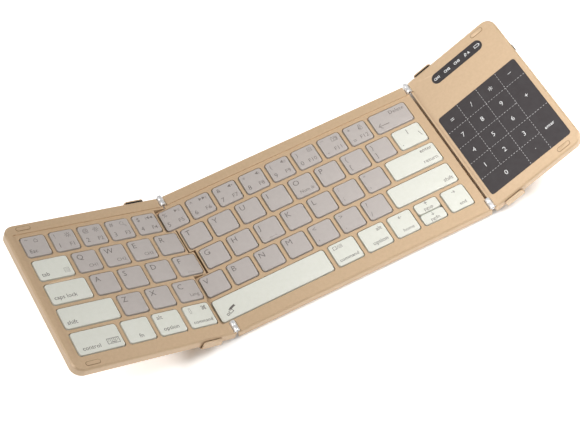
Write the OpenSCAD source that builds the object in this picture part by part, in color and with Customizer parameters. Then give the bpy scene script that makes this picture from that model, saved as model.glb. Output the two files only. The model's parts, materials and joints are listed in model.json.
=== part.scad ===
// Folding wireless keyboard in three sections, drawn half lifted as it is held in two hands.
// The middle section lies flat on its feet. The origin is the centre of its rest plane.
// X runs to the right, Y to the back and Z up. All sizes are in millimetres.

/* [Sections] */
// Height of both fold axes above the rest plane
axis_z = 7.5; // [7.4:0.05:8]
// Angle by which the left wing is lifted from flat
left_lift = 23; // [0:1:40]
// Angle by which the right wing is lifted from flat
right_lift = 29; // [0:1:40]
// Gap between sections along the left fold
fold_gap = 0.5; // [0.3:0.05:0.7]
// Gap between sections along the right fold
groove_gap = 1.1; // [0.8:0.1:1.6]

/* [Case] */
// Thickness of the case walls
wall = 1.2; // [1:0.1:1.5]
// Wall along the stepped left fold, beside the keys
seam_wall = 0.8; // [0.6:0.05:0.8]
// Depth of the rim top below the fold axis
rim_drop = 0.4; // [0.3:0.05:0.6]
// Depth of the key deck below the rim
deck_drop = 0.5; // [0.4:0.05:0.7]
// Thickness of the key deck
deck_t = 1.0; // [0.8:0.1:1]
// Height of the joint between top case and bottom cover
split_z = 2.2; // [1.9:0.1:2.4]
// Height of the underside of the bottom covers
belly_z = 0.8; // [0.6:0.05:0.9]
// Thickness of the bottom covers
cover_t = 1.0; // [0.8:0.1:1.1]
// Radius of the outer corners of the wings
corner_r = 6.5; // [5:0.5:9]
// Width of the slope round the top edge
top_bevel = 0.8; // [0.4:0.1:1]
// Width of the slope round the bottom edge
belly_bevel = 1.8; // [1:0.1:2]
// Margin from the back edge to the first row of keys
back_margin = 9.7; // [9.4:0.1:10.5]
// Margin from the front edge to the last row of keys
front_margin = 8.9; // [8.4:0.1:10]
// Margin from the end of each section to the keys
side_margin = 6.6; // [6:0.1:7]
// Recessed deck behind the first row
deck_back = 2.9; // [2:0.1:3]
// Recessed deck in front of the last row
deck_front = 0.6; // [0.5:0.1:0.8]
// Recessed deck beside the left keys
deck_side = 2.7; // [2:0.1:3]
// Width of the ledge along the right fold
ledge_w = 1.8; // [1.2:0.1:2.2]

/* [Keys] */
// Pitch of the keys along a row
key_pitch = 17; // [15.5:0.1:19]
// Pitch of the rows
row_pitch = 16.5; // [15:0.1:19]
// Gap between keys in a row
key_gap = 2.8; // [2.6:0.05:3]
// Gap between rows
row_gap = 2.7; // [2.5:0.05:2.9]
// Depth of the keys in the front row
front_key_d = 14.9; // [14:0.1:15]
// Corner radius of a key cap
cap_r = 1.6; // [1:0.1:2]
// Height of a key cap
cap_h = 1.4; // [1.2:0.1:1.5]
// Depth of the key tops below the fold axis
cap_drop = 0.2; // [0.2:0.05:0.4]
// Travel of a key
key_travel = 1.2; // [1:0.05:1.4]
// Running gap between a key and the deck
key_clear = 0.45; // [0.3:0.05:0.45]
// Wall of a key cap
cap_wall = 0.9; // [0.7:0.1:1.1]
// Thickness of the top of a key cap
cap_top = 0.7; // [0.6:0.05:0.8]
// First key of the number row, measured from the left fold axis
number_offset = -5.6; // [-6:0.1:-5]
// First key of the upper letter row, measured from the left fold axis
upper_offset = 0.6; // [0:0.1:1]
// First key of the home row, measured from the left fold axis
home_offset = 4.0; // [3.4:0.1:4.2]
// First key of the lower letter row, measured from the left fold axis
lower_offset = -4.3; // [-5:0.1:-4]
// Space bar, measured from the left fold axis
space_offset = -4.6; // [-5:0.1:-4]
// Width of a key of the front row that isn't the space bar, control or an arrow
mod_w = 16; // [15:0.1:16.5]
// Width of an arrow key
arrow_w = 14.6; // [13.5:0.1:15]
// Width of the delete key, which sets the length of the middle section
delete_w = 24.2; // [23.8:0.1:25]

/* [Key works] */
// Thickness of the steel plate under the keys
plate_t = 0.4; // [0.3:0.05:0.5]
// Thickness of the contact membrane
membrane_t = 0.25; // [0.2:0.05:0.3]
// Radius of a rubber dome at its foot
dome_r = 2.8; // [2.2:0.1:3]
// Thickness of a scissor frame
frame_t = 0.45; // [0.35:0.05:0.5]
// Width of the bars of a scissor frame
frame_bar = 0.9; // [0.7:0.05:1]

/* [Hinges] */
// Radius of a hinge barrel
barrel_r = 1.6; // [1.4:0.05:1.7]
// Length of a hinge barrel
barrel_len = 6.5; // [5.8:0.1:6.6]
// Distance of the front barrels from the front edge
front_barrel_inset = 0.7; // [0.5:0.05:0.75]
// Radius of a hinge pin
pin_r = 0.7; // [0.5:0.05:0.9]
// Radial running clearance of a hinge pin in the wing's knuckle
pin_clear = 0.05; // [0.03:0.01:0.08]
// Length of a hinge leaf
leaf_len = 11; // [8:0.5:14]
// Thickness of a hinge leaf
leaf_t = 1.0; // [0.8:0.1:1.1]

/* [Touchpad wing] */
// Number of columns of the printed number pad
pad_cols = 4; // [4:4]
// Width of a column of the printed number pad
pad_col_w = 14; // [13.4:0.05:14.05]
// Depth of the touchpad
pad_d = 60; // [56:0.1:60.6]
// Margin from the right fold axis to the touchpad
pad_left = 3.9; // [3.6:0.1:4.1]
// Margin from the touchpad to the outer edge of the right wing
pad_right = 3.5; // [3.2:0.1:3.8]
// Margin from the front edge to the touchpad
pad_front = 7.2; // [7:0.1:8]
// Thickness of the touchpad's cover glass
glass_t = 0.7; // [0.5:0.05:0.8]
// Length of the indicator window between its end centres
window_len = 29.4; // [26:0.2:31]
// Radius of the ends of the indicator window
window_r = 3.4; // [3:0.1:3.6]
// Distance of the indicator window from the right fold axis
window_left = 18; // [17:0.2:19]
// Distance of the indicator window's centre line from the back edge
window_back = 10.4; // [9.8:0.1:11]
// Travel of the power switch
switch_travel = 2; // [1.5:0.1:2.5]
// Distance of the power switch from the back edge
switch_back = 25.5; // [25:0.5:30]
// Distance of the charging socket from the back edge
socket_back = 44; // [40:0.5:50]

/* [Feet and fasteners] */
// Length of a foot pad
foot_len = 16; // [10:1:20]
// Width of a foot pad
foot_w = 4.4; // [3:0.2:5]
// Depth to which a foot pad is let into its cover
foot_seat = 0.2; // [0.1:0.05:0.3]
// Width of a foot bracket
bracket_w = 12; // [9:0.5:13]
// Distance of the left foot bracket from its fold axis
left_bracket_x = 9.3; // [8.5:0.1:10]
// Distance of the right foot bracket from its fold axis
right_bracket_x = 7; // [6.5:0.1:8]
// Thickness of a foot bracket
bracket_t = 0.7; // [0.5:0.05:0.8]
// Thickness of the rubber lining inside a foot bracket
lining_t = 0.8; // [0.6:0.05:0.9]
// Depth of a bracket's upper ends below the fold axis
bracket_drop = 0.7; // [0.5:0.1:1.2]
// Length of a bumper pad
bumper_len = 8; // [6:0.5:9]
// Width of a bumper pad
bumper_w = 2.2; // [1.6:0.1:2.4]
// Distance of the bumper pads from the outer edge
bumper_inset = 7.5; // [7:0.5:9]
// Radius of a case screw's shank
screw_r = 0.7; // [0.6:0.05:0.8]
// Radius of a case screw's head
screw_head_r = 1.4; // [1.3:0.05:1.5]

/* [Hidden] */
// Number of keys of the number row on the left wing, and on the middle section before the delete key
left_columns = 5;
mid_columns = 8;
row_count = 5;
front_row = row_count - 1;
pad_w = pad_cols * pad_col_w;
fold_span = number_offset + mid_columns * key_pitch + delete_w + side_margin;
left_len = left_columns * key_pitch - number_offset + side_margin;
right_len = pad_left + pad_w + pad_right;
closed_gap = fold_span - left_len - right_len;
body_d = back_margin + front_row * row_pitch + front_key_d + front_margin;
half_span = fold_span / 2;
half_d = body_d / 2;
rim_z = axis_z - rim_drop;
deck_z = rim_z - deck_drop;
ceiling_z = deck_z - deck_t;
cap_z = axis_z - cap_drop;
skirt_gap = 0.45;
plate_z = cap_z - cap_h - key_travel - skirt_gap - membrane_t;
cap_w = key_pitch - key_gap;
cap_d = row_pitch - row_gap;
keys_y = half_d - back_margin;
field_left = -half_span - left_len + side_margin;
field_right = half_span - side_margin;
space_left = -half_span + space_offset;
offsets = [number_offset, upper_offset, home_offset, lower_offset, space_offset];
cover_in_z = belly_z + cover_t;
lip_h = plate_z - plate_t - split_z;
lip_clear = 0.1;
inner_y = half_d - wall;
part_clear = 0.15;
membrane_z = plate_z + membrane_t;
pocket_z = cap_z - cap_top;
barrel_clear = 0.3;
back_barrel_y = half_d - barrel_len;
front_barrel_y = -half_d + front_barrel_inset;
barrel_ys = [back_barrel_y, front_barrel_y];
knuckle_gap = 0.1;
knuckle_len = (barrel_len - knuckle_gap) / 2;
pin_inset = 0.15;
leaf_z = ceiling_z - leaf_t;
leaf_side = 0.4;
leaf_start = 0.2;
stake_r = 1;
stake_x = leaf_len - 3;
stake_fit = 0.1;
stake_end = 0.3;
boss_r = 1.9;
boss_y = inner_y - lip_clear - wall - boss_r - part_clear;
screw_head_h = 0.5;
screw_sink = 0.1;
screw_len = 3.6;
screw_fit = 0.05;
screw_free = 0.1;
bore_skin = 0.2;
slot_len = 1.6;
slot_w = 0.35;
slot_depth = 0.2;
eps = 0.01;
far = 400;
fine = 48;
pad_y = -half_d + pad_front;
pad_r = 1.8;
board_t = 0.8;
window_y = half_d - window_back;
window_t = 0.7;
switch_y = half_d - switch_back;
socket_y = half_d - socket_back;
main_z = 2.6;
board_margin = 1.5;
board_post_r = 1.4;
post_in = 3;
post_out = 10;
knob_play = 0.3;
board_back = 5;
pad_chip_w = 9;
pad_chip_h = 0.6;
pad_chip_x = 12;
pad_chip_y = 26;
switch_w = 0.8;
switch_len = 6;
switch_low = main_z + board_t + part_clear;
switch_h = ceiling_z - part_clear - switch_low;
switch_body_w = 2.6;
switch_body_h = 1.5;
socket_shell = 0.3;
socket_set = 0.2;
tongue_w = 6.6;
tongue_t = 0.7;
tongue_set = 1.2;
window_step = 0.5;
battery_r = 1.5;
board_left = 14;
board_x0 = half_span + board_left;
board_x1 = half_span + right_len - wall - part_clear;
battery_x = half_span + 9;
battery_w = 40;
battery_d = 22;
battery_t = 3;
battery_gap = 1.8;
battery_y = boss_y - boss_r - battery_gap - battery_d;
cell_gap = 1;
board_d = 32.5;
board_y0 = battery_y - cell_gap - board_d;
window_ledge = 1.4;
socket_w = 9;
socket_h = 3.1;
socket_depth = 7.3;
socket_z = 3.95;
switch_z = switch_low + switch_h / 2;
nub_len = 4;
nub_h = 1.6;
nub_out = max(part_clear, closed_gap - part_clear);
lip_w = 1.2;
rib_w = 1;
bracket_cut = 1.6;
lining_inset = 1;
lining_drop = 0.2;
front_lining_drop = 1.8;
bumper_clear = 0.1;
foot_clear = 0.1;
foot_end = 22;
foot_side = 12;
overlap_x = 20;
bumper_y = half_d - 3.5;
bumper_seat = 0.35;
bumper_rise = 0.2;
screw_x = 26;
gold = [0.80, 0.68, 0.53];
taupe = [0.76, 0.73, 0.70];
cream = [0.93, 0.93, 0.89];
charcoal = [0.27, 0.26, 0.26];
silver = [0.86, 0.87, 0.88];
rubber = [0.16, 0.15, 0.14];
steel = [0.62, 0.63, 0.65];
circuit = [0.12, 0.32, 0.22];

// Row r counts from 0 at the back. Columns count from 0 at the left fold, negative on the left wing.
function row_y(r) = keys_y - r * row_pitch;
function row_edge(r) = row_y(min(r, front_row)) + (r > front_row ? -front_key_d - row_gap / 2 : row_gap / 2);
function key_x(r, c) = -half_span + offsets[r] + c * key_pitch;
function seam_x(r) = -half_span + offsets[r] - key_gap / 2;
// A key is [left side, right side, back side, depth].
function unit_key(r, c) = [key_x(r, c), key_x(r, c) + cap_w, row_y(r), cap_d];
function unit_keys(r, first, last) = [for (c = [first:last]) unit_key(r, c)];
function end_key(r, c) = [key_x(r, c), field_right, row_y(r), cap_d];
function start_key(r, c) = [field_left, key_x(r, c) + cap_w, row_y(r), cap_d];
function front_key(x0, x1) = [x0, x1, row_y(front_row), front_key_d];
function left_mod_x(n) = space_left - n * (mod_w + key_gap);
function arrow_x(n) = field_right - n * arrow_w - (n - 1) * key_gap;
function right_mod_x(n) = arrow_x(3) - n * (mod_w + key_gap);

esc = [start_key(0, -left_columns)];
numbers_left = unit_keys(0, 1 - left_columns, -1);
numbers_mid = unit_keys(0, 0, mid_columns - 1);
delete = [end_key(0, mid_columns)];
tab = [start_key(1, -5)];
upper_left = unit_keys(1, -4, -1);
upper_mid = unit_keys(1, 0, 7);
backslash = [end_key(1, 8)];
caps_lock = [start_key(2, -5)];
home_left = unit_keys(2, -4, -1);
home_mid = unit_keys(2, 0, 6);
enter = [end_key(2, 7)];
shift_left = [start_key(3, -4)];
lower_left = unit_keys(3, -3, -1);
lower_mid = unit_keys(3, 0, 6);
shift_right = [end_key(3, 7)];
control = [front_key(field_left, left_mod_x(3) - key_gap)];
fn_key = [front_key(left_mod_x(3), left_mod_x(3) + mod_w)];
option_left = [front_key(left_mod_x(2), left_mod_x(2) + mod_w)];
command_left = [front_key(left_mod_x(1), left_mod_x(1) + mod_w)];
space = [front_key(space_left, right_mod_x(2) - key_gap)];
command_right = [front_key(right_mod_x(2), right_mod_x(2) + mod_w)];
option_right = [front_key(right_mod_x(1), right_mod_x(1) + mod_w)];
arrow_left = [front_key(arrow_x(3), arrow_x(3) + arrow_w)];
arrow_right = [front_key(arrow_x(1), arrow_x(1) + arrow_w)];
arrow_pair_gap = 0.5;
half_key_d = (front_key_d - arrow_pair_gap) / 2;
arrow_up = [[arrow_x(2), arrow_x(2) + arrow_w, row_y(front_row), half_key_d]];
arrow_down = [[
    arrow_x(2), arrow_x(2) + arrow_w, row_y(front_row) - half_key_d - arrow_pair_gap, half_key_d]];
arrow_hole = [front_key(arrow_x(2), arrow_x(2) + arrow_w)];
left_single = concat(esc, tab, caps_lock, shift_left, control, fn_key, option_left, command_left);
left_keys = concat(left_single, numbers_left, upper_left, home_left, lower_left);
mid_single = concat(delete, backslash, enter, shift_right, space, command_right, option_right);
mid_groups = concat(numbers_mid, upper_mid, home_mid, lower_mid);
mid_full = concat(mid_single, mid_groups, arrow_left, arrow_right);
mid_keys = concat(mid_full, arrow_up, arrow_down);
mid_holes = concat(mid_full, arrow_hole);

// Places a piece drawn on the flat, open keyboard onto a lifted wing.
module on_left_wing() {
    translate([-half_span, 0, axis_z])
        rotate([0, left_lift, 0])
            translate([half_span, 0, -axis_z])
                children();
}

module on_right_wing() {
    translate([half_span, 0, axis_z])
        rotate([0, -right_lift, 0])
            translate([-half_span, 0, -axis_z])
                children();
}

// Rectangle with its low corner at x, y and round corners.
module round_rect(x, y, w, d, r) {
    translate([x + r, y]) square([w - 2 * r, d]);
    translate([x, y + r]) square([w, d - 2 * r]);
    for (cx = [x + r, x + w - r], cy = [y + r, y + d - r])
        translate([cx, cy]) circle(r = r, $fn = fine);
}

module slab(z0, z1) {
    translate([0, 0, z0]) linear_extrude(height = z1 - z0) children();
}

// The stepped line of the left fold, as the area to its right.
module fold_line_area() {
    polygon(concat(
        [[far, far], [-half_span, far]],
        [for (r = [0:front_row], e = [0, 1])
            e == 0 ? [r == 0 ? -half_span : seam_x(r - 1), row_edge(r)] : [seam_x(r), row_edge(r)]],
        [
            [seam_x(front_row), row_edge(row_count)], [-half_span, row_edge(row_count)],
            [-half_span, -far], [far, -far]
        ]
    ));
}

module right_of_fold(inset) {
    offset(delta = -fold_gap / 2 - inset) fold_line_area();
}

module left_of_fold(inset) {
    difference() {
        translate([-far, -far]) square([1.5 * far, 2 * far]);
        offset(delta = fold_gap / 2 + inset) fold_line_area();
    }
}

// Notches for the barrels of the fold at x.
module barrel_notches(x) {
    reach = barrel_r + barrel_clear;
    for (y = barrel_ys)
        translate([x - reach, y - part_clear])
            square([2 * reach, y == back_barrel_y ? barrel_len + wall : barrel_len + 2 * part_clear]);
}

// Areas of the sections in plan, drawn in by inset and, along the left fold, by seam_inset.
module mid_area(inset, seam_inset) {
    difference() {
        intersection() {
            right_of_fold(seam_inset);
            translate([-far, -far]) square([far + half_span - groove_gap / 2 - inset, 2 * far]);
        }
        offset(delta = inset) barrel_notches(-half_span);
        offset(delta = inset) barrel_notches(half_span);
    }
}

module mid_inside(inset, seam_inset) {
    intersection() {
        mid_area(inset, seam_inset);
        translate([-far, -half_d + inset]) square([2 * far, body_d - 2 * inset]);
    }
}

module left_area(inset, seam_inset) {
    difference() {
        left_of_fold(seam_inset);
        offset(delta = inset) barrel_notches(-half_span);
    }
}

module left_inside(inset, seam_inset) {
    intersection() {
        left_area(inset, seam_inset);
        round_rect(
            -half_span - left_len + inset, -half_d + inset,
            far, body_d - 2 * inset, corner_r - inset);
    }
}

module right_area(inset) {
    difference() {
        translate([half_span + groove_gap / 2 + inset, -far]) square([far, 2 * far]);
        offset(delta = inset) barrel_notches(half_span);
    }
}

module right_inside(inset) {
    intersection() {
        right_area(inset);
        round_rect(
            half_span + right_len - inset - far, -half_d + inset,
            far, body_d - 2 * inset, corner_r - inset);
    }
}

// Bar with the cross-section of a section, sloped along its top and bottom edges.
module section_bar(x0, x1) {
    translate([x0, 0, 0])
        rotate([90, 0, 90])
            linear_extrude(height = x1 - x0)
                polygon([
                    [belly_bevel - half_d, belly_z], [half_d - belly_bevel, belly_z], [half_d, split_z],
                    [half_d, rim_z - top_bevel], [half_d - top_bevel, rim_z], [top_bevel - half_d, rim_z],
                    [-half_d, rim_z - top_bevel], [-half_d, split_z]
                ]);
}

// Round outer corner with the same slopes.
module corner_post(x, y) {
    wall_h = rim_z - top_bevel - split_z;
    translate([x, y, belly_z])
        cylinder(r1 = corner_r - belly_bevel, r2 = corner_r, h = split_z - belly_z, $fn = 2 * fine);
    translate([x, y, split_z]) cylinder(r = corner_r, h = wall_h, $fn = 2 * fine);
    translate([x, y, rim_z - top_bevel])
        cylinder(r1 = corner_r, r2 = corner_r - top_bevel, h = top_bevel, $fn = 2 * fine);
}

// Body of a wing from beyond the fold at x to its outer end.
module wing_body(x, end, dir) {
    hull() {
        section_bar(x - dir * overlap_x - 1, x - dir * overlap_x + 1);
        for (side = [-1, 1])
            corner_post(end - dir * corner_r, side * (half_d - corner_r));
    }
}

// Keys, their openings and what carries them.
module key_plan(key, grow) {
    round_rect(
        key[0] - grow, key[2] - key[3] - grow,
        key[1] - key[0] + 2 * grow, key[3] + 2 * grow, cap_r + grow);
}

module caps(keys, paint) {
    color(paint)
        for (key = keys)
            difference() {
                slab(cap_z - cap_h, cap_z) key_plan(key, 0);
                slab(cap_z - cap_h - eps, pocket_z) key_plan(key, -cap_wall);
            }
}

module key_holes(keys) {
    for (key = keys)
        slab(ceiling_z - eps, rim_z + eps) key_plan(key, key_clear);
}

function bar_w(key) = key[3] < 0.75 * cap_d ? 0.55 * frame_bar : frame_bar;
function frame_d(key) = min(cap_d, key[3]) - 2 * cap_wall - 4 * part_clear;
function inner_frame_d(key) = frame_d(key) - 2 * bar_w(key) - 2 * part_clear;
function dome_foot_r(key) = min(dome_r, inner_frame_d(key) / 2 - bar_w(key) - part_clear);

module at_key(key, z) {
    translate([(key[0] + key[1]) / 2, key[2] - key[3] / 2, z]) children();
}

module dome(key) {
    r = dome_foot_r(key);
    h = pocket_z - membrane_z;
    at_key(key, membrane_z)
        rotate_extrude($fn = fine)
            polygon([[0, 0], [r, 0], [0.92 * r, 0.18 * h], [0.62 * r, 0.72 * h], [0.56 * r, h], [0, h]]);
}

// One frame of a scissor, a flat ring turned about its middle.
module scissor_frame(w, d, bar, tilt) {
    rotate([0, tilt, 0])
        translate([0, 0, -frame_t / 2])
            linear_extrude(height = frame_t)
                difference() {
                    square([w, d], center = true);
                    square([w - 2 * bar, d - 2 * bar], center = true);
                }
}

module scissor(key) {
    w = cap_w - 2 * cap_wall - 8 * part_clear;
    room = pocket_z - membrane_z - part_clear;
    tilt = asin((room - frame_t) / w);
    at_key(key, (pocket_z + membrane_z) / 2) {
        scissor_frame(w, frame_d(key), bar_w(key), tilt);
        scissor_frame(w, inner_frame_d(key), bar_w(key), -tilt);
    }
}

// Case parts shared by the sections.
module boss(x, y) {
    translate([x, y, split_z + part_clear]) cylinder(r = boss_r, h = ceiling_z - split_z, $fn = fine);
}

module boss_bore(x, y) {
    translate([x, y, 0]) cylinder(r = screw_r + screw_fit, h = ceiling_z - bore_skin, $fn = fine);
}

module screw(x, y) {
    translate([x, y, belly_z + screw_sink]) {
        cylinder(r = screw_head_r, h = screw_head_h, $fn = fine);
        cylinder(r = screw_r, h = screw_len, $fn = fine);
    }
}

module screw_seat(x, y) {
    seat_z = belly_z + screw_sink + screw_head_h;
    translate([x, y, -eps]) cylinder(r = screw_head_r + screw_free, h = seat_z + eps, $fn = fine);
    translate([x, y, 0]) cylinder(r = screw_r + screw_free, h = split_z + 2 * part_clear, $fn = fine);
}

module cover_pad(x, y) {
    translate([x, y, cover_in_z - eps]) cylinder(r = boss_r, h = split_z - cover_in_z + eps, $fn = fine);
}

module cross_slot(x, y) {
    for (a = [0, 90])
        translate([x, y, belly_z + screw_sink])
            rotate([0, 0, a]) cube([slot_len, slot_w, 2 * slot_depth], center = true);
}

module screws(points) {
    color(steel)
        for (p = points)
            difference() {
                screw(p[0], p[1]);
                cross_slot(p[0], p[1]);
            }
}

// Stakes that hold the hinge leaves of the fold at x, on the side given by dir.
module leaf_stakes(x, dir) {
    for (y = barrel_ys)
        translate([x + dir * stake_x, stake_y(y), leaf_z - stake_end])
            cylinder(r = stake_r, h = leaf_t + stake_end + part_clear, $fn = fine);
}

module leaf_slots(x, dir) {
    for (y = barrel_ys)
        translate([x + (dir > 0 ? 0 : -leaf_len / 2), leaf_y(y) - part_clear, split_z - eps])
            cube([leaf_len / 2, leaf_w(y) + 2 * part_clear, ceiling_z - split_z + eps]);
}

// The front leaf stops at the wall of the stepped fold.
front_leaf_end = row_edge(row_count) - fold_gap / 2 - seam_wall - part_clear;
function stake_y(y) = y + barrel_len / 2 - leaf_side;
function leaf_y(y) = y == back_barrel_y ? y + leaf_side : max(y, -inner_y) + leaf_side;
function leaf_w(y) = (y == back_barrel_y ? inner_y - leaf_side : front_leaf_end) - leaf_y(y);

// Hinge leaves of the fold at x. dir is the side they reach to and near picks the knuckle.
module hinge_leaves(x, dir, near, bore_r) {
    color(silver)
        for (y = barrel_ys) {
            knuckle_y = y + (near ? 0 : knuckle_len + knuckle_gap);
            difference() {
                union() {
                    translate([x, knuckle_y + knuckle_len, axis_z])
                        rotate([90, 0, 0]) cylinder(r = barrel_r, h = knuckle_len, $fn = fine);
                    translate([x, knuckle_y + knuckle_len, 0])
                        rotate([90, 0, 0])
                            linear_extrude(height = knuckle_len)
                                polygon([
                                    [dir * leaf_start, axis_z - barrel_r / 2], [dir * leaf_start, leaf_z],
                                    [dir * barrel_r, leaf_z], [dir * barrel_r, axis_z]]);
                    translate([x + (dir > 0 ? leaf_start : -leaf_len), leaf_y(y), leaf_z])
                        cube([leaf_len - leaf_start, leaf_w(y), leaf_t]);
                }
                translate([x, y - 1, axis_z])
                    rotate([-90, 0, 0]) cylinder(r = bore_r, h = barrel_len + 2, $fn = fine);
                translate([x + dir * stake_x, stake_y(y), leaf_z - 1])
                    cylinder(r = stake_r + stake_fit, h = leaf_t + 2, $fn = fine);
            }
        }
}

// Strap that wraps under a wing, seen from its end.
module foot_bracket_profile() {
    side = half_d + lining_t;
    out = side + bracket_t;
    top = axis_z - bracket_drop;
    low = belly_z - bracket_t;
    bend = 2 * bracket_t;
    polygon([
        [-out, top], [-out, low + bend], [-out + bend, low], [out - bend, low], [out, low + bend],
        [out, top], [side, top], [side, low + bend], [side - bend + bracket_t, belly_z],
        [bend - bracket_t - side, belly_z], [-side, low + bend], [-side, top]
    ]);
}

module foot_bracket(x) {
    color(gold)
        difference() {
            translate([x, 0, 0])
                rotate([90, 0, 90])
                    linear_extrude(height = bracket_w) foot_bracket_profile();
            for (side = [-1, 1], end = [0, bracket_w])
                translate([x + end, side * half_d, axis_z - bracket_drop])
                    rotate([0, 45, 0])
                        cube([bracket_cut, 4 * (lining_t + bracket_t), bracket_cut], center = true);
        }
}

// Rubber that fills the gap at the back and stays low in it at the front.
module foot_lining(x) {
    color(rubber)
        for (side = [-1, 1])
            translate([x + lining_inset, side > 0 ? half_d : -half_d - lining_t, split_z])
                cube([
                    bracket_w - 2 * lining_inset, lining_t,
                    axis_z - bracket_drop - (side > 0 ? lining_drop : front_lining_drop) - split_z]);
}

module bumper_plan(x, y, grow) {
    round_rect(
        x - grow, y - bumper_w / 2 - grow,
        bumper_len + 2 * grow, bumper_w + 2 * grow, bumper_w / 2 + grow - eps);
}

module bumpers(x) {
    color(gold)
        for (y = [-bumper_y, bumper_y])
            slab(rim_z - bumper_seat, rim_z + bumper_rise) bumper_plan(x, y, 0);
}

module bumper_seats(x) {
    for (y = [-bumper_y, bumper_y])
        slab(rim_z - bumper_seat, rim_z + 1) bumper_plan(x, y, bumper_clear);
}

// The area of the recessed deck, between x0 and x1.
module deck_area(x0, x1) {
    y0 = row_y(front_row) - front_key_d - deck_front;
    translate([x0, y0]) square([x1 - x0, keys_y + deck_back - y0]);
}

// Ribs that carry the key plate, one under each gap between rows.
module plate_ribs(x0, x1) {
    for (r = [1:front_row])
        translate([x0, row_edge(r) - rib_w / 2, cover_in_z - eps])
            cube([x1 - x0, rib_w, plate_z - plate_t - cover_in_z + eps]);
}

module plate_area() {
    y0 = row_edge(row_count) + 2 * seam_wall;
    translate([-far, y0]) square([2 * far, row_edge(0) - y0]);
}

// Middle section.
mid_screw_points = [for (x = [-half_span + screw_x, 0, half_span - screw_x], y = [-boss_y, boss_y]) [x, y]];
foot_x = half_span - foot_end;
foot_y = half_d - foot_side;
// Six pads along the edges, and one in the middle that keeps the section from flexing.
foot_points = concat([[0, 0]], [for (x = [-foot_x, 0, foot_x], y = [-foot_y, foot_y]) [x, y]]);

module mid_top_case() {
    color(gold)
        difference() {
            union() {
                difference() {
                    intersection() {
                        section_bar(-half_span - overlap_x, half_span + overlap_x);
                        slab(split_z, far) mid_area(0, 0);
                    }
                    slab(split_z - eps, ceiling_z) mid_inside(wall, seam_wall);
                    slab(deck_z, far) deck_area(-far, far);
                    key_holes(mid_holes);
                    leaf_slots(-half_span, 1);
                    leaf_slots(half_span, -1);
                }
                for (p = mid_screw_points)
                    boss(p[0], p[1]);
                leaf_stakes(-half_span, 1);
                leaf_stakes(half_span, -1);
            }
            for (p = mid_screw_points)
                boss_bore(p[0], p[1]);
        }
}

module mid_bottom_cover() {
    color(gold)
        difference() {
            union() {
                difference() {
                    intersection() {
                        section_bar(-half_span - overlap_x, half_span + overlap_x);
                        slab(belly_z - 1, split_z) mid_area(0, 0);
                    }
                    slab(cover_in_z, far) mid_inside(wall + lip_clear + lip_w, seam_wall + lip_clear + lip_w);
                }
                slab(split_z - eps, split_z + lip_h)
                    difference() {
                        mid_inside(wall + lip_clear, seam_wall + lip_clear);
                        mid_inside(wall + lip_clear + lip_w, seam_wall + lip_clear + lip_w);
                    }
                plate_ribs(-half_span + home_offset, half_span - wall - lip_w);
                for (p = mid_screw_points)
                    cover_pad(p[0], p[1]);
            }
            for (p = mid_screw_points)
                screw_seat(p[0], p[1]);
            for (p = foot_points)
                slab(belly_z - 1, belly_z + foot_seat) foot_plan(p, foot_clear);
        }
}

module foot_plan(p, grow) {
    round_rect(
        p[0] - foot_len / 2 - grow, p[1] - foot_w / 2 - grow,
        foot_len + 2 * grow, foot_w + 2 * grow, foot_w / 2 + grow - eps);
}

module mid_key_plate() {
    color(steel)
        slab(plate_z - plate_t, plate_z)
            intersection() {
                mid_inside(wall + part_clear, seam_wall + part_clear);
                plate_area();
            }
}

module mid_dome_membrane() {
    color(cream) {
        slab(plate_z, membrane_z)
            intersection() {
                mid_inside(wall + 2 * part_clear, seam_wall + 2 * part_clear);
                plate_area();
            }
        for (key = mid_keys)
            dome(key);
    }
}

module mid_scissors() {
    color("white")
        for (key = mid_keys)
            scissor(key);
}

module mid_feet() {
    color(rubber)
        for (p = foot_points)
            slab(0, belly_z + foot_seat) foot_plan(p, 0);
}

module mid_screws() {
    screws(mid_screw_points);
}

module mid_hinge_leaves() {
    hinge_leaves(-half_span, 1, true, pin_r);
    hinge_leaves(half_span, -1, true, pin_r);
}

module hinge_pins() {
    color(steel)
        for (x = [-half_span, half_span], y = barrel_ys)
            translate([x, y + pin_inset, axis_z])
                rotate([-90, 0, 0]) cylinder(r = pin_r, h = barrel_len - 2 * pin_inset, $fn = fine);
}

// Left wing.
left_end = -half_span - left_len;
left_screw_points = [for (x = [left_end + screw_x / 2, -half_span - screw_x], y = [-boss_y, boss_y]) [x, y]];

module left_top_case() {
    color(gold)
        on_left_wing()
            difference() {
                union() {
                    difference() {
                        intersection() {
                            wing_body(-half_span, left_end, -1);
                            slab(split_z, far) left_area(0, 0);
                        }
                        slab(split_z - eps, ceiling_z) left_inside(wall, seam_wall);
                        slab(deck_z, far) deck_area(field_left - deck_side, far);
                        key_holes(left_keys);
                        leaf_slots(-half_span, -1);
                        bumper_seats(left_end + bumper_inset);
                    }
                    for (p = left_screw_points)
                        boss(p[0], p[1]);
                    leaf_stakes(-half_span, -1);
                }
                for (p = left_screw_points)
                    boss_bore(p[0], p[1]);
            }
}

module left_bottom_cover() {
    color(gold)
        on_left_wing()
            difference() {
                union() {
                    difference() {
                        intersection() {
                            wing_body(-half_span, left_end, -1);
                            slab(belly_z - 1, split_z) left_area(0, 0);
                        }
                        slab(cover_in_z, far)
                            left_inside(wall + lip_clear + lip_w, seam_wall + lip_clear + lip_w);
                    }
                    slab(split_z - eps, split_z + lip_h)
                        difference() {
                            left_inside(wall + lip_clear, seam_wall + lip_clear);
                            left_inside(wall + lip_clear + lip_w, seam_wall + lip_clear + lip_w);
                        }
                    plate_ribs(left_end + wall + lip_w, seam_x(0) - fold_gap - seam_wall);
                    for (p = left_screw_points)
                        cover_pad(p[0], p[1]);
                }
                for (p = left_screw_points)
                    screw_seat(p[0], p[1]);
            }
}

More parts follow.
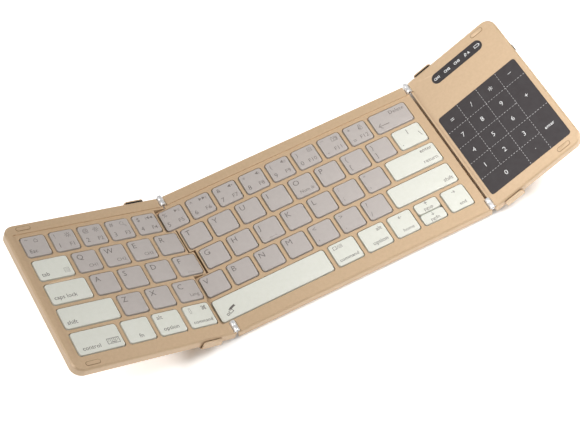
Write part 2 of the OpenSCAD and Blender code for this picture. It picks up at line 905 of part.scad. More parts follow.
module left_key_plate() {
    color(steel)
        on_left_wing()
            slab(plate_z - plate_t, plate_z)
                intersection() {
                    left_inside(wall + part_clear, seam_wall + part_clear);
                    plate_area();
                }
}

module left_dome_membrane() {
    color(cream)
        on_left_wing() {
            slab(plate_z, membrane_z)
                intersection() {
                    left_inside(wall + 2 * part_clear, seam_wall + 2 * part_clear);
                    plate_area();
                }
            for (key = left_keys)
                dome(key);
        }
}

module left_scissors() {
    color("white")
        on_left_wing()
            for (key = left_keys)
                scissor(key);
}

module left_bumpers() {
    on_left_wing() bumpers(left_end + bumper_inset);
}

module left_foot_bracket() {
    on_left_wing() foot_bracket(-half_span - left_bracket_x - bracket_w);
}

module left_foot_lining() {
    on_left_wing() foot_lining(-half_span - left_bracket_x - bracket_w);
}

module left_screws() {
    on_left_wing() screws(left_screw_points);
}

module left_hinge_leaves() {
    on_left_wing() hinge_leaves(-half_span, -1, false, pin_r + pin_clear);
}

// Right wing.
right_end = half_span + right_len;
right_screw_points = [for (x = [half_span + screw_x, right_end - screw_x / 2], y = [-boss_y, boss_y]) [x, y]];

module window_plan(grow) {
    round_rect(
        half_span + window_left - window_r - grow, window_y - window_r - grow,
        window_len + 2 * window_r + 2 * grow, 2 * window_r + 2 * grow, window_r + grow - eps);
}

module pad_plan(grow) {
    round_rect(half_span + pad_left - grow, pad_y - grow, pad_w + 2 * grow, pad_d + 2 * grow, pad_r + grow);
}

module right_top_case() {
    color(gold)
        on_right_wing()
            difference() {
                union() {
                    difference() {
                        intersection() {
                            wing_body(half_span, right_end, 1);
                            slab(split_z, far) right_area(0);
                        }
                        slab(split_z - eps, ceiling_z) right_inside(wall);
                        slab(deck_z, far) deck_area(half_span, half_span + groove_gap / 2 + ledge_w);
                        slab(rim_z - glass_t, far) pad_plan(lip_clear);
                        slab(split_z, far) pad_plan(-board_margin + lip_clear);
                        slab(rim_z - window_t, far) window_plan(lip_clear);
                        slab(split_z, far) window_plan(-window_ledge);
                        leaf_slots(half_span, 1);
                        bumper_seats(right_end - bumper_inset - bumper_len);
                        switch_slot();
                        socket_hole();
                    }
                    for (p = right_screw_points)
                        boss(p[0], p[1]);
                    leaf_stakes(half_span, 1);
                }
                for (p = right_screw_points)
                    boss_bore(p[0], p[1]);
            }
}

module right_bottom_cover() {
    color(gold)
        on_right_wing()
            difference() {
                union() {
                    difference() {
                        intersection() {
                            wing_body(half_span, right_end, 1);
                            slab(belly_z - 1, split_z) right_area(0);
                        }
                        slab(cover_in_z, far) right_inside(wall + lip_clear + lip_w);
                    }
                    for (p = right_screw_points)
                        cover_pad(p[0], p[1]);
                    for (x = [board_x0, board_x1 - post_out], y = [board_y0, socket_y + socket_w / 2])
                        translate([x + post_in, y + post_in, cover_in_z - eps])
                            cylinder(r = board_post_r, h = main_z - cover_in_z + eps, $fn = fine);
                }
                for (p = right_screw_points)
                    screw_seat(p[0], p[1]);
            }
}

module touchpad_glass() {
    color(charcoal)
        on_right_wing()
            slab(rim_z - glass_t, rim_z) pad_plan(0);
}

module touchpad_board() {
    under_z = rim_z - glass_t - board_t;
    color(circuit)
        on_right_wing() {
            slab(under_z, rim_z - glass_t) pad_plan(-board_margin);
            translate([half_span + pad_left + pad_chip_x, pad_y + pad_d - pad_chip_y, under_z - pad_chip_h])
                cube([pad_chip_w, pad_chip_w, pad_chip_h + eps]);
        }
}

module indicator_window() {
    color(charcoal)
        on_right_wing() {
            slab(rim_z - window_t, rim_z) window_plan(0);
            slab(rim_z - window_t - window_step, rim_z - window_t + eps)
                window_plan(-window_ledge - lip_clear);
        }
}

// Chips as [x, y, width, depth, height] from the board's corner.
board_chips = [[4, 6, 8, 8, 0.9], [16, 5, 11, 13, 1.3], [5, 18, 5, 3, 0.8]];

module main_board() {
    color(circuit)
        on_right_wing()
            difference() {
                union() {
                    slab(main_z, main_z + board_t) {
                        translate([board_x0, board_y0])
                            square([board_x1 - board_x0, battery_y - cell_gap - board_y0]);
                        translate([battery_x + battery_w + cell_gap, board_y0])
                            square([
                                board_x1 - battery_x - battery_w - cell_gap,
                                switch_y + board_back - board_y0]);
                    }
                    for (chip = board_chips)
                        translate([board_x0 + chip[0], board_y0 + chip[1], main_z + board_t - eps])
                            cube([chip[2], chip[3], chip[4]]);
                    translate([
                        right_end - wall - part_clear - switch_w - knob_play - switch_body_w,
                        switch_y - switch_len / 2, main_z + board_t - eps])
                        cube([switch_body_w, switch_len, switch_body_h]);
                }
                translate([right_end - socket_depth - 2 * socket_set, socket_y, 0])
                    translate([0, -socket_w / 2 - socket_set, 0])
                        cube([socket_depth, socket_w + 2 * socket_set, far]);
            }
}

module battery() {
    color(silver)
        on_right_wing()
            slab(cover_in_z, cover_in_z + battery_t)
                round_rect(battery_x, battery_y, battery_w, battery_d, battery_r);
}

// The knob rests at the front end of its slot.
module power_switch_knob() {
    color(rubber)
        on_right_wing() {
            translate([
                right_end - wall - part_clear - switch_w, switch_y - switch_len / 2, switch_z - switch_h / 2])
                cube([switch_w, switch_len, switch_h]);
            translate([right_end - wall - part_clear - eps, switch_y - nub_len / 2, switch_z - nub_h / 2])
                cube([wall + part_clear + eps + nub_out, nub_len, nub_h]);
        }
}

module switch_slot() {
    translate([right_end - 2 * wall, switch_y - nub_len / 2 - part_clear, switch_z - nub_h / 2 - part_clear])
        cube([4 * wall, nub_len + switch_travel + 2 * part_clear, nub_h + 2 * part_clear]);
}

module socket_profile(grow) {
    round_rect(
        -socket_w / 2 - grow, -socket_h / 2 - grow,
        socket_w + 2 * grow, socket_h + 2 * grow, socket_h / 2 + grow - eps);
}

module socket_hole() {
    translate([right_end - 2 * wall, socket_y, socket_z])
        rotate([90, 0, 90])
            linear_extrude(height = 4 * wall) socket_profile(lip_clear);
}

module charging_socket() {
    color(steel)
        on_right_wing()
            translate([right_end - socket_depth, socket_y, socket_z])
                rotate([90, 0, 90]) {
                    difference() {
                        linear_extrude(height = socket_depth - socket_set) socket_profile(0);
                        translate([0, 0, socket_shell])
                            linear_extrude(height = socket_depth) socket_profile(-socket_shell);
                    }
                    linear_extrude(height = socket_depth - tongue_set)
                        square([tongue_w, tongue_t], center = true);
                }
}

module right_bumpers() {
    on_right_wing() bumpers(right_end - bumper_inset - bumper_len);
}

module right_foot_bracket() {
    on_right_wing() foot_bracket(half_span + right_bracket_x);
}

module right_foot_lining() {
    on_right_wing() foot_lining(half_span + right_bracket_x);
}

module right_screws() {
    on_right_wing() screws(right_screw_points);
}

module right_hinge_leaves() {
    on_right_wing() hinge_leaves(half_span, 1, false, pin_r + pin_clear);
}

// Key caps of the left wing.
module key_esc() {
    on_left_wing() caps(esc, taupe);
}

module keys_numbers_left() {
    on_left_wing() caps(numbers_left, taupe);
}

module key_tab() {
    on_left_wing() caps(tab, cream);
}

module keys_upper_left() {
    on_left_wing() caps(upper_left, taupe);
}

module key_caps_lock() {
    on_left_wing() caps(caps_lock, cream);
}

module keys_home_left() {
    on_left_wing() caps(home_left, taupe);
}

module key_shift_left() {
    on_left_wing() caps(shift_left, cream);
}

module keys_lower_left() {
    on_left_wing() caps(lower_left, taupe);
}

module key_control() {
    on_left_wing() caps(control, cream);
}

module key_fn() {
    on_left_wing() caps(fn_key, cream);
}

module key_option_left() {
    on_left_wing() caps(option_left, cream);
}

module key_command_left() {
    on_left_wing() caps(command_left, cream);
}

// Key caps of the middle section.
module keys_numbers_mid() {
    caps(numbers_mid, taupe);
}

module key_delete() {
    caps(delete, taupe);
}

module keys_upper_mid() {
    caps(upper_mid, taupe);
}

module key_backslash() {
    caps(backslash, cream);
}

module keys_home_mid() {
    caps(home_mid, taupe);
}

module key_enter() {
    caps(enter, cream);
}

module keys_lower_mid() {
    caps(lower_mid, taupe);
}

module key_shift_right() {
    caps(shift_right, cream);
}

module key_space() {
    caps(space, cream);
}

module key_command_right() {
    caps(command_right, cream);
}

module key_option_right() {
    caps(option_right, cream);
}

module key_arrow_left() {
    caps(arrow_left, cream);
}

module key_arrow_up() {
    caps(arrow_up, cream);
}

module key_arrow_down() {
    caps(arrow_down, cream);
}

module key_arrow_right() {
    caps(arrow_right, cream);
}

mid_top_case();
mid_bottom_cover();
mid_key_plate();
mid_dome_membrane();
mid_scissors();
mid_feet();
mid_screws();
mid_hinge_leaves();
hinge_pins();
left_top_case();
left_bottom_cover();
left_key_plate();
left_dome_membrane();
left_scissors();
left_bumpers();
left_foot_bracket();
left_foot_lining();
left_screws();
left_hinge_leaves();
right_top_case();
right_bottom_cover();
touchpad_glass();
touchpad_board();
indicator_window();
main_board();
battery();
power_switch_knob();
charging_socket();
right_bumpers();
right_foot_bracket();
right_foot_lining();
right_screws();
right_hinge_leaves();
key_esc();
keys_numbers_left();
key_tab();
keys_upper_left();
key_caps_lock();
keys_home_left();
key_shift_left();
keys_lower_left();
key_control();
key_fn();
key_option_left();
key_command_left();
keys_numbers_mid();
key_delete();
keys_upper_mid();
key_backslash();
keys_home_mid();
key_enter();
keys_lower_mid();
key_shift_right();
key_space();
key_command_right();
key_option_right();
key_arrow_left();
key_arrow_up();
key_arrow_down();
key_arrow_right();
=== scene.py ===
import json
import math

import bmesh
import bpy
from mathutils import Matrix, Vector

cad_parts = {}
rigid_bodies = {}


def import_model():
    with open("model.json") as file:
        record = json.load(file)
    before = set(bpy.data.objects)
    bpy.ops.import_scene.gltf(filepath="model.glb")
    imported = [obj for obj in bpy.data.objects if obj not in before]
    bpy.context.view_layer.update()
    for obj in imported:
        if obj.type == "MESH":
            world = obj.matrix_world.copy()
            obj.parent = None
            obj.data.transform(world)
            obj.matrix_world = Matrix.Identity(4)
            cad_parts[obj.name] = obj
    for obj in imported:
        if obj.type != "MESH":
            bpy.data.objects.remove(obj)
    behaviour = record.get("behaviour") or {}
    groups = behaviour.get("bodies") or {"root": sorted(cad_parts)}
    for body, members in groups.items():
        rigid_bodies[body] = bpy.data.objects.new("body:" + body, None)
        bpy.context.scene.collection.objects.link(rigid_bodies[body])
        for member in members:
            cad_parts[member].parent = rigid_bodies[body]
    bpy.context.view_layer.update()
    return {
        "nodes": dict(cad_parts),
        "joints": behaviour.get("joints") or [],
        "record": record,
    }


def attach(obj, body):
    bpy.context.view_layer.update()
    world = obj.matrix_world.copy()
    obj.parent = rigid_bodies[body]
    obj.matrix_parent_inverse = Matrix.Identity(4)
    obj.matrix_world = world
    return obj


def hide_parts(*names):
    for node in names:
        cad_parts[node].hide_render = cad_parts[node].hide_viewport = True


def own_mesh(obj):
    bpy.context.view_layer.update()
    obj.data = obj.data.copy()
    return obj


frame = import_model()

mm = 0.001
hair = 0.01 * mm  # corners closer than this count as one place
weldReach = 0.002 * mm
nearlyLevel = 0.9  # least upward part of a level face's normal
nodes = frame["nodes"]
joints = {joint["name"]: joint for joint in frame["joints"]}
nodeBody = {
    node: body
    for body, members in frame["record"]["behaviour"]["bodies"].items()
    for node in members
}
print("frame loaded:", len(nodes), "nodes")


# Places: every wing is modelled flat and then lifted as the frame holds it

def wingPlace(jointName):
    joint = joints[jointName]
    pivot = Matrix.Translation(Vector(joint["pos_m"]))
    lift = math.radians(-joint["range_deg"][0])  # the joint's low end is the flat keyboard
    return pivot @ Matrix.Rotation(lift, 4, Vector(joint["axis"])) @ pivot.inverted()


flatPlace = Matrix.Identity(4)
leftPlace = wingPlace("left_fold")
rightPlace = wingPlace("right_fold")


def placeOf(node):
    body = nodeBody[node]
    carrier = next((j["parent"] for j in joints.values() if j["child"] == body), body)
    if body == "left_wing" or carrier == "left_wing":
        return leftPlace
    if body == "right_wing" or carrier == "right_wing":
        return rightPlace
    return flatPlace


def flatPoints(node):
    # a node's corners, in the flat wing's frame
    back = placeOf(node).inverted()
    return [back @ v.co for v in nodes[node].data.vertices]


def boxOf(points):
    low = Vector(min(p[i] for p in points) for i in range(3))
    high = Vector(max(p[i] for p in points) for i in range(3))
    return low, high


def keyBoxes(node):
    # boxes of a key node's caps, in the flat wing's frame, from left to right
    points = sorted(flatPoints(node), key=lambda p: p.x)
    groups = [[points[0]]]
    for point in points[1:]:
        # a cap's own long sides also leave wide gaps in x, so a new cap starts past a closed one
        isClosed = groups[-1][-1].x - groups[-1][0].x > keyCaps["narrowest"]
        if isClosed and point.x - groups[-1][-1].x > keyCaps["apart"]:
            groups.append([])
        groups[-1].append(point)
    return [boxOf(group) for group in groups]


# Modelling by hand, in small steps

def deselectAll():
    bpy.ops.object.select_all(action="DESELECT")


def editMode(obj):
    deselectAll()
    obj.select_set(True)
    bpy.context.view_layer.objects.active = obj
    bpy.ops.object.mode_set(mode="EDIT")


def objectMode():
    bpy.ops.object.mode_set(mode="OBJECT")


def pickFaces(obj, test):
    bpy.ops.mesh.select_mode(type="FACE")
    bpy.ops.mesh.select_all(action="DESELECT")
    shape = bmesh.from_edit_mesh(obj.data)
    for face in shape.faces:
        face.select = test(face)
    shape.select_flush_mode()
    bmesh.update_edit_mesh(obj.data)


def pickEdges(obj, test):
    bpy.ops.mesh.select_mode(type="EDGE")
    bpy.ops.mesh.select_all(action="DESELECT")
    shape = bmesh.from_edit_mesh(obj.data)
    for edge in shape.edges:
        edge.select = test(edge)
    shape.select_flush_mode()
    bmesh.update_edit_mesh(obj.data)


def isTop(face):
    return face.normal.z > nearlyLevel


def isUnderside(face):
    return face.normal.z < -nearlyLevel


def isUpright(edge):
    first, second = (v.co for v in edge.verts)
    return abs(first.x - second.x) + abs(first.y - second.y) < hair


def addBlock(name, low, high):
    deselectAll()
    bpy.ops.mesh.primitive_cube_add(size=1, location=(low + high) / 2, scale=high - low)
    block = bpy.context.object
    block.name = name
    bpy.ops.object.transform_apply(location=True, rotation=True, scale=True)
    return block


def smoothShade(obj, angle=40):
    deselectAll()
    obj.select_set(True)
    bpy.context.view_layer.objects.active = obj
    bpy.ops.object.shade_smooth_by_angle(angle=math.radians(angle))


def joinPieces(name, pieces):
    deselectAll()
    for piece in pieces:
        piece.select_set(True)
    bpy.context.view_layer.objects.active = pieces[0]
    if len(pieces) > 1:
        bpy.ops.object.join()
    pieces[0].name = name
    pieces[0].data.name = name
    return pieces[0]


def setDown(piece, place):
    # lifts the flat piece onto its wing, in its mesh
    piece.data.transform(place)
    piece.data.update()
    return piece


def dress(piece, material):
    piece.data.materials.clear()
    piece.data.materials.append(material)


# Materials

def hexColour(code):
    channels = [int(code[i:i + 2], 16) / 255 for i in (1, 3, 5)]
    linear = [c / 12.92 if c <= 0.04045 else ((c + 0.055) / 1.055) ** 2.4 for c in channels]
    return (*linear, 1)


def addNode(tree, kind, settings=None, links=None):
    node = tree.nodes.new(kind)
    for key, value in (settings or {}).items():
        if isinstance(key, int) or key in node.inputs:
            node.inputs[key].default_value = value
        else:
            setattr(node, key, value)
    for key, socket in (links or {}).items():
        tree.links.new(socket, node.inputs[key])
    return node


def newMaterial(name, shaderSettings):
    material = bpy.data.materials.new(name)
    material.use_nodes = True
    tree = material.node_tree
    tree.nodes.clear()
    shader = addNode(tree, "ShaderNodeBsdfPrincipled", shaderSettings)
    addNode(tree, "ShaderNodeOutputMaterial", links={"Surface": shader.outputs["BSDF"]})
    coords = addNode(tree, "ShaderNodeTexCoord").outputs["Object"]
    return material, tree, shader, coords


def perMetre(size):
    # noise scale for a grain of that size in millimetres
    return 1 / (size * mm)


drift = {
    "span": (0.3, 0.7),  # where the two tones lie in the noise's range
    "detail": 3,
    "roughness": 0.55,
    "grainDetail": 2,
}


def mottle(tree, shader, coords, low, high, grain):
    # colour that drifts between two close tones; grain sizes and heights are in mm
    noise = addNode(
        tree, "ShaderNodeTexNoise",
        {"Scale": perMetre(grain), "Detail": drift["detail"], "Roughness": drift["roughness"]},
        {"Vector": coords})
    ramp = addNode(tree, "ShaderNodeValToRGB", links={"Fac": noise.outputs["Fac"]})
    first, last = ramp.color_ramp.elements
    first.position, last.position = drift["span"]
    first.color = hexColour(low)
    last.color = hexColour(high)
    tree.links.new(ramp.outputs["Color"], shader.inputs["Base Color"])
    return noise


def grainBump(tree, shader, coords, grain, height, strength):
    noise = addNode(
        tree, "ShaderNodeTexNoise", {"Scale": perMetre(grain), "Detail": drift["grainDetail"]},
        {"Vector": coords})
    bump = addNode(
        tree, "ShaderNodeBump", {"Strength": strength, "Distance": height * mm},
        {"Height": noise.outputs["Fac"]})
    tree.links.new(bump.outputs["Normal"], shader.inputs["Normal"])
    return noise


def roughBand(tree, shader, noise, low, high):
    band = addNode(
        tree, "ShaderNodeMapRange", {"To Min": low, "To Max": high}, {"Value": noise.outputs["Fac"]})
    tree.links.new(band.outputs["Result"], shader.inputs["Roughness"])


def champagnePaint():
    # metallic paint sprayed on moulded ABS: satin, with fine flake that glints a little
    material, tree, shader, coords = newMaterial(
        "champagnePaint", {"Metallic": 0.15, "Coat Weight": 0.1, "Coat Roughness": 0.4, "IOR": 1.5})
    mottle(tree, shader, coords, "#cbae8c", "#d1b492", grain=1.6)
    # real flake is finer than this grain, which is drawn coarse to show
    grain = grainBump(tree, shader, coords, grain=0.35, height=0.006, strength=0.6)
    roughBand(tree, shader, grain, low=0.36, high=0.5)
    return material


def keyPlastic(name, low, high):
    # ABS cap with a spark-eroded matt face
    material, tree, shader, coords = newMaterial(name, {"IOR": 1.49, "Specular IOR Level": 0.45})
    mottle(tree, shader, coords, low, high, grain=2.5)
    grain = grainBump(tree, shader, coords, grain=0.3, height=0.005, strength=0.5)
    roughBand(tree, shader, grain, low=0.48, high=0.62)
    return material


def printInk(name, tone, roughness=0.6):
    # pad-printed ink, a little uneven in cover
    material, tree, shader, coords = newMaterial(name, {"Roughness": roughness, "IOR": 1.5})
    mottle(tree, shader, coords, tone[0], tone[1], grain=0.5)
    return material


def padFace():
    # printed and hard-coated film under glass-clear lacquer: dark, smooth, softly glossy
    material, tree, shader, coords = newMaterial(
        "padFace", {"IOR": 1.5, "Specular IOR Level": 0.2, "Coat Weight": 0.05, "Coat Roughness": 0.35})
    mottle(tree, shader, coords, "#3f3a3b", "#444041", grain=4)
    grain = grainBump(tree, shader, coords, grain=0.25, height=0.002, strength=0.4)
    roughBand(tree, shader, grain, low=0.4, high=0.5)
    return material


def smokedWindow():
    # tinted polycarbonate, polished
    material, tree, shader, coords = newMaterial("smokedWindow", {"IOR": 1.58, "Coat Weight": 0.4})
    noise = mottle(tree, shader, coords, "#3d393a", "#434041", grain=3)
    roughBand(tree, shader, noise, low=0.14, high=0.2)
    return material


def platedSteel():
    # pearl-nickel hinge knuckle: bright, satin, nearly white under soft light
    material, tree, shader, coords = newMaterial("platedSteel", {"Metallic": 0.45, "IOR": 1.8})
    noise = mottle(tree, shader, coords, "#f0f0f1", "#f8f8f8", grain=1.2)
    roughBand(tree, shader, noise, low=0.26, high=0.34)
    return material


def bareSteel():
    # cold-rolled sheet and turned screws: grey, dull sheen
    material, tree, shader, coords = newMaterial("bareSteel", {"Metallic": 1.0})
    mottle(tree, shader, coords, "#8f9194", "#a5a7aa", grain=0.8)
    grain = grainBump(tree, shader, coords, grain=0.2, height=0.003, strength=0.5)
    roughBand(tree, shader, grain, low=0.3, high=0.45)
    return material


def mouldedRubber(name, low, high):
    # black rubber, matt and faintly pitted
    material, tree, shader, coords = newMaterial(name, {"IOR": 1.52, "Specular IOR Level": 0.3})
    mottle(tree, shader, coords, low, high, grain=0.8)
    grain = grainBump(tree, shader, coords, grain=0.25, height=0.015, strength=0.6)
    roughBand(tree, shader, grain, low=0.72, high=0.88)
    return material


def siliconeSheet():
    # milky silicone of the domes
    material, tree, shader, coords = newMaterial(
        "siliconeSheet", {"IOR": 1.43, "Subsurface Weight": 0.2, "Subsurface Scale": 1 * mm})
    noise = mottle(tree, shader, coords, "#dcdcd4", "#e6e6df", grain=2)
    roughBand(tree, shader, noise, low=0.45, high=0.55)
    return material


def mouldedAcetal():
    # white acetal of the scissor frames, waxy
    material, tree, shader, coords = newMaterial("mouldedAcetal", {"IOR": 1.48})
    noise = mottle(tree, shader, coords, "#e8e8e6", "#f1f1ef", grain=1)
    roughBand(tree, shader, noise, low=0.35, high=0.45)
    return material


def solderMask():
    # green lacquered circuit board
    material, tree, shader, coords = newMaterial("solderMask", {"IOR": 1.55, "Coat Weight": 0.3})
    noise = mottle(tree, shader, coords, "#1d4a31", "#25573b", grain=1.5)
    roughBand(tree, shader, noise, low=0.3, high=0.4)
    return material


def foilPouch():
    # crimped aluminium laminate of the flat cell
    material, tree, shader, coords = newMaterial("foilPouch", {"Metallic": 0.9})
    mottle(tree, shader, coords, "#b9bbbf", "#c9cbce", grain=2)
    grain = grainBump(tree, shader, coords, grain=3, height=0.15, strength=0.4)
    roughBand(tree, shader, grain, low=0.3, high=0.45)
    return material


finish = {
    "case_gold": champagnePaint(),
    "key_taupe": keyPlastic("taupeAbs", "#b9b1ac", "#bdb5b0"),
    "key_cream": keyPlastic("creamAbs", "#dcdcd1", "#e0e0d6"),
    "pad_black": padFace(),
    "window_smoke": smokedWindow(),
    "hinge_silver": platedSteel(),
    "steel": bareSteel(),
    "rubber": mouldedRubber("blackRubber", "#24211f", "#2c2927"),
    "circuit": solderMask(),
    "membrane": siliconeSheet(),
    "scissor_white": mouldedAcetal(),
    "battery_foil": foilPouch(),
}
darkInk = printInk("darkInk", ("#655e5a", "#6f6864"))
paleInk = printInk("paleInk", ("#7b736e", "#857d78"))
whiteInk = printInk("whiteInk", ("#e9e9e8", "#f3f3f2"), 0.5)
# painted shade: the brown of the case in shadow, for the bumper seams
seamShade = printInk("seamShade", ("#7d6245", "#8a6d4e"), 0.8)
gridInk = printInk("gridInk", ("#c3c0c0", "#cecbcb"), 0.5)

slotOf = {part["node"]: part["material_slot"] for part in frame["record"]["subparts"]}
for node, slotName in slotOf.items():
    dress(nodes[node], finish[slotName])
print("materials on", len(nodes), "nodes")


# Case edges: a small round on every sharp edge catches the light

caseEdges = {
    "radius": {  # mm, by node
        "mid_top_case": 0.15, "left_top_case": 0.15, "right_top_case": 0.15,
        "mid_bottom_cover": 0.15, "left_bottom_cover": 0.15, "right_bottom_cover": 0.15,
        "left_foot_bracket": 0.12, "right_foot_bracket": 0.12,
        "mid_feet": 0.12, "left_bumpers": 0.08, "right_bumpers": 0.08,
        "touchpad_glass": 0.06, "indicator_window": 0.06,
        "power_switch_knob": 0.12, "charging_socket": 0.05,
        "mid_hinge_leaves": 0.1, "left_hinge_leaves": 0.1, "right_hinge_leaves": 0.1,
    },
    "segments": 2,
    "angle": 32,  # degrees; slighter turns are the rounds' own facets
}


def roundEdges(node, radius):
    obj = nodes[node]
    weld = obj.modifiers.new("weld", "WELD")
    weld.merge_threshold = weldReach
    rounding = obj.modifiers.new("edges", "BEVEL")
    rounding.width = radius * mm
    rounding.segments = caseEdges["segments"]
    rounding.limit_method = "ANGLE"
    rounding.angle_limit = math.radians(caseEdges["angle"])
    rounding.harden_normals = False
    rounding.use_clamp_overlap = True


# Key caps: one low cap with a soft top edge, made to each key's own size

keyCaps = {
    "cornerRadius": 1.6,
    "cornerSteps": 6,
    "edgeRadius": 0.38,  # soft top edge
    "edgeSteps": 3,
    "lean": 0.18,  # how far the top draws in on each side
    "wall": 0.9,
    "roof": 0.7,
    "narrowest": 12 * mm,
    "apart": 1.5 * mm,  # least gap between two caps
}


def makeCap(name, box):
    low, high = box
    cap = addBlock(name, low, high)
    editMode(cap)
    pickEdges(cap, isUpright)
    bpy.ops.mesh.bevel(
        offset=keyCaps["cornerRadius"] * mm, segments=keyCaps["cornerSteps"], affect="EDGES")
    pickFaces(cap, isTop)
    size = high - low
    leanX = 1 - 2 * keyCaps["lean"] * mm / size.x
    leanY = 1 - 2 * keyCaps["lean"] * mm / size.y
    bpy.ops.transform.resize(value=(leanX, leanY, 1), center_override=(low + high) / 2)
    pickFaces(cap, isUnderside)
    bpy.ops.mesh.inset(thickness=keyCaps["wall"] * mm)
    bpy.ops.mesh.extrude_region_move(
        TRANSFORM_OT_translate={"value": (0, 0, size.z - keyCaps["roof"] * mm)})
    top = high.z
    pickEdges(cap, lambda edge: all(abs(v.co.z - top) < hair for v in edge.verts))
    bpy.ops.mesh.bevel(offset=keyCaps["edgeRadius"] * mm, segments=keyCaps["edgeSteps"], affect="EDGES")
    objectMode()
    return cap


# Legends: letters, digits and plain signs, printed on the caps

legend = {
    "letter": 5.0,  # text sizes in mm
    "digit": 4.3,
    "sign": 3.8,
    "word": 3.6,
    "label": 3.7,
    "small": 3.0,
    "icon": 3.6,
    "media": 2.3,
    "arrow": 3.0,
    "long": 6.4,
    "side": 1.9,  # margin from the key's sides
    "top": 1.9,
    "bottom": 2.4,
    "strokes": {"big": -0.03, "fine": 0.01, "from": 4.0},  # mm added to each stroke, by text size
    "curveSteps": 2,
    "lift": 0.012,  # thickness of the print
    "tailFrom": 0.1,  # share of the text size that counts as a tail
    "tail": 0.12,  # how far text with tails moves up from the line, in shares of its size
}
spots = {  # horizontal, vertical
    "topLeft": ("LEFT", "TOP"), "top": ("CENTER", "TOP"), "topRight": ("RIGHT", "TOP"),
    "left": ("LEFT", "CENTER"), "centre": ("CENTER", "CENTER"), "right": ("RIGHT", "CENTER"),
    "bottomLeft": ("LEFT", "BOTTOM"), "bottom": ("CENTER", "BOTTOM"), "bottomRight": ("RIGHT", "BOTTOM"),
}


def printText(body, size, spot, box, ink, shift=(0, 0), stroke=None):
    if stroke is None:
        stroke = legend["strokes"]["big" if size >= legend["strokes"]["from"] else "fine"]
    low, high = box
    across, along = spots[spot]
    side, top, bottom = (legend[key] * mm for key in ("side", "top", "bottom"))
    x = {"LEFT": low.x + side, "CENTER": (low.x + high.x) / 2, "RIGHT": high.x - side}[across]
    y = {"TOP": high.y - top, "CENTER": (low.y + high.y) / 2, "BOTTOM": low.y + bottom}[along]
    deselectAll()
    bpy.ops.object.text_add(location=(0, 0, 0))
    text = bpy.context.object
    text.data.body = body
    text.data.size = size * mm
    text.data.align_x = across
    text.data.resolution_u = legend["curveSteps"]
    text.data.offset = stroke * mm
    text.data.extrude = legend["lift"] / 2 * mm
    bpy.ops.object.convert(target="MESH")
    text = bpy.context.object
    heights = [v.co.y for v in text.data.vertices]
    hang = {
        "TOP": -max(heights), "CENTER": -(max(heights) + min(heights)) / 2, "BOTTOM": -min(heights),
    }[along]
    if along == "BOTTOM" and -min(heights) > legend["tailFrom"] * size * mm:
        hang = legend["tail"] * size * mm  # letters with tails keep the line
    x, y = x + shift[0] * mm, y + hang + shift[1] * mm
    text.data.transform(Matrix.Translation((x, y, high.z + legend["lift"] / 2 * mm)))
    dress(text, ink)
    return text


def barSign(bars, centre, ink, turn=0):
    # a sign drawn with straight bars, each given as left, right, front and back in mm
    sheet = legend["lift"] * mm
    spin = Matrix.Translation(centre) @ Matrix.Rotation(math.radians(turn), 4, "Z")
    pieces = []
    for left, right, front, back in bars:
        low = Vector((left * mm, front * mm, 0))
        high = Vector((right * mm, back * mm, sheet))
        pieces.append(addBlock("bar", low, high))
        pieces[-1].data.transform(spin)
        dress(pieces[-1], ink)
    return pieces


def frameBars(width, height, line, middle=(0, 0)):
    left, right = middle[0] - width / 2, middle[0] + width / 2
    front, back = middle[1] - height / 2, middle[1] + height / 2
    return [
        (left, right, back - line, back), (left, right, front, front + line),
        (left, left + line, front + line, back - line), (right - line, right, front + line, back - line)]


def numberKey(sign, icon, digit, second):
    iconSize = "media" if len(icon) > 1 else "icon"
    return [
        (sign, "sign", "topLeft", paleInk), (icon, iconSize, "topRight", paleInk),
        (digit, "digit", "bottomLeft", darkInk), (second, "label", "bottomRight", paleInk)]


def letterKey(letter, extra=None):
    marks = [(letter, "letter", "topLeft", darkInk)]
    return marks + ([(extra, "small", "bottomRight", paleInk)] if extra else [])


def signKey(upper, lower):
    return [(upper, "digit", "topLeft", darkInk), (lower, "digit", "bottomLeft", darkInk)]


